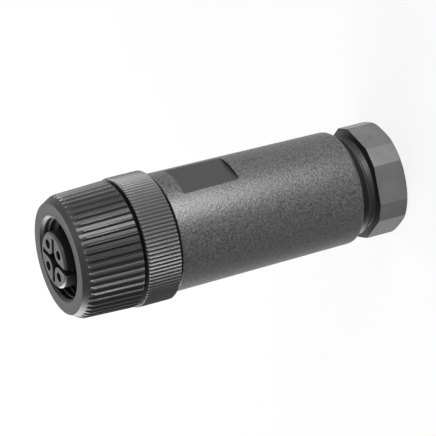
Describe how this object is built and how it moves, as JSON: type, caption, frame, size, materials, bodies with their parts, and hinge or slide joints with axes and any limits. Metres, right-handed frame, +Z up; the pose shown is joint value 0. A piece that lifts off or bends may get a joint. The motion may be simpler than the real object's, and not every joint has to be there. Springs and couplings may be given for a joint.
{
  "type": "m12 circular power connector",
  "caption": "Field-wired round socket connector with a ribbed coupling ring, a knurled collar, a sleeve with spanner flats and a cable gland nut.",
  "frame": {"origin": "centre of the pressure nut's end face, on the connector's axis, where the connector stands", "axes": "+Z up the axis, from the cable end to the mating face; +X square to one of the two spanner flats"},
  "size_m": [0.02, 0.02, 0.0557],
  "materials": {
    "ring_plastic": "moulded dark grey, satin on the ribs",
    "insert_plastic": "moulded dark grey, smooth",
    "collar_plastic": "moulded dark grey, finely knurled",
    "housing_plastic": "moulded dark grey, fine spark-eroded grain, smooth spanner flats",
    "nut_plastic": "moulded dark grey, smooth satin",
    "seal_rubber": "matt black rubber",
    "contact_brass": "turned, gold plated",
    "screw_steel": "plain zinc-plated steel",
    "cage_plastic": "moulded dark grey, smooth"
  },
  "bodies": {
    "front": {"socket_insert": "insert_plastic", "insert_sleeve": "insert_plastic", "face_seal": "seal_rubber", "contact_1": "contact_brass", "contact_2": "contact_brass", "contact_3": "contact_brass", "contact_4": "contact_brass", "terminal_screw_1": "screw_steel", "terminal_screw_2": "screw_steel", "terminal_screw_3": "screw_steel", "terminal_screw_4": "screw_steel", "terminal_block": "insert_plastic", "knurled_collar": "collar_plastic", "snap_ring": "screw_steel"},
    "ring": {"coupling_ring": "ring_plastic"},
    "mouth_seal": {"collar_seal": "seal_rubber"},
    "sleeve": {"housing": "housing_plastic", "cable_seal": "seal_rubber"},
    "gland": {"clamp_cage": "cage_plastic", "slip_washer": "cage_plastic"},
    "nut": {"pressure_nut": "nut_plastic"}
  },
  "joints": [
    {"name": "ring_turn", "type": "hinge", "parent": "front", "child": "ring", "pos_m": [0, 0, 0.0464], "axis": [0, 0, -1], "continuous": true},
    {"name": "sleeve_travel", "type": "slide", "parent": "front", "child": "mouth_seal", "axis": [0, 0, -1], "range_m": [0, 0.004]},
    {"name": "sleeve_turn", "type": "hinge", "parent": "mouth_seal", "child": "sleeve", "pos_m": [0, 0, 0.036], "axis": [0, 0, -1], "range_deg": [0, 1440]},
    {"name": "nut_travel", "type": "slide", "parent": "sleeve", "child": "gland", "axis": [0, 0, -1], "range_m": [-0.00225, 0.0045], "deforming": ["cable_seal"]},
    {"name": "nut_turn", "type": "hinge", "parent": "gland", "child": "nut", "pos_m": [0, 0, 0.01], "axis": [0, 0, -1], "range_deg": [-540, 1080]}
  ],
  "couplings": [
    {"joint": "sleeve_travel", "follows": "sleeve_turn", "m_per_rad": 0.00015915},
    {"joint": "nut_travel", "follows": "nut_turn", "m_per_rad": 0.00023873}
  ]
}
